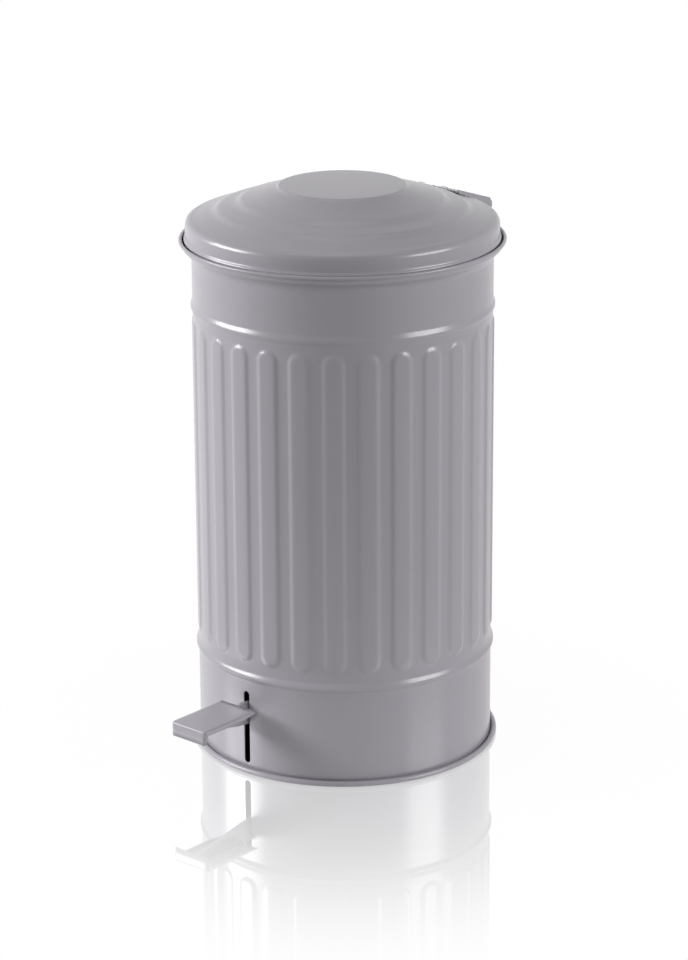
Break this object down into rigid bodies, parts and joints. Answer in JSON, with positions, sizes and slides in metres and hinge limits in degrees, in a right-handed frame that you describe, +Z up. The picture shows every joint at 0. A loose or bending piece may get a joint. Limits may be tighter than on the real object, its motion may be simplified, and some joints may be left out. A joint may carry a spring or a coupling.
{
  "type": "pedal bin",
  "caption": "Round step-on bin with a fluted steel body, a domed lid with pressed rings on a rear hinge, a foot pedal with a push rod, and a lift-out bucket.",
  "frame": {"origin": "centre of the round base pan's flat underside, on the floor and on the body's axis", "axes": "+Z up along the body's axis, -Y towards the foot pedal, +Y towards the lid's hinge, +X to the right seen from the pedal"},
  "size_m": [0.3036, 0.3928, 0.5413],
  "materials": {
    "paint": "satin warm grey paint on steel",
    "zinc": "bright zinc plating",
    "galvanized": "galvanized sheet",
    "nylon": "black moulded nylon"
  },
  "bodies": {
    "bin": {"body_shell": "paint", "base_pan": "paint", "body_hinge_bracket": "paint", "bracket_rivet_1": "zinc", "bracket_rivet_2": "zinc", "bracket_rivet_3": "zinc", "bracket_rivet_4": "zinc", "hinge_pin": "zinc", "hinge_pin_cap_left": "paint", "hinge_pin_cap_right": "paint", "pedal_bracket": "zinc", "pedal_pivot_pin": "zinc", "pedal_pivot_clip_left": "zinc", "pedal_pivot_clip_right": "zinc", "rod_guide_1": "zinc", "rod_guide_2": "zinc", "bucket_platform": "galvanized"},
    "lid": {"lid_shell": "paint", "lid_hinge_leaf": "paint", "leaf_rivet_1": "zinc", "leaf_rivet_2": "zinc", "lid_crank_tab": "zinc"},
    "pedal": {"pedal_lever": "paint", "pedal_plate": "paint"},
    "rod": {"push_rod": "zinc", "rod_cap": "nylon", "rod_collar": "zinc"},
    "liner": {"bucket": "galvanized", "bail_ear_left": "galvanized", "bail_ear_right": "galvanized", "bail_ear_rivet_left": "zinc", "bail_ear_rivet_right": "zinc"},
    "bail": {"bail_wire": "zinc", "bail_grip": "nylon"}
  },
  "joints": [
    {"name": "lid_hinge", "type": "hinge", "parent": "bin", "child": "lid", "pos_m": [0, 0.165, 0.4915], "axis": [-1, 0, 0], "range_deg": [0, 75]},
    {"name": "pedal_hinge", "type": "hinge", "parent": "bin", "child": "pedal", "pos_m": [0, -0.045, 0.0468], "axis": [1, 0, 0], "range_deg": [0, 17]},
    {"name": "rod_lift", "type": "slide", "parent": "bin", "child": "rod", "axis": [0, 0, 1], "range_m": [0, 0.0524]},
    {"name": "liner_lift", "type": "slide", "parent": "bin", "child": "liner", "axis": [0, 0, 1], "range_m": [0, 0.012]},
    {"name": "bail_swing", "type": "hinge", "parent": "liner", "child": "bail", "pos_m": [0, 0, 0.3843], "axis": [-1, 0, 0], "range_deg": [0, 105]}
  ],
  "couplings": [
    {"joint": "pedal_hinge", "follows": "lid_hinge", "ratio": 0.225},
    {"joint": "rod_lift", "follows": "lid_hinge", "m_per_rad": 0.03986}
  ]
}
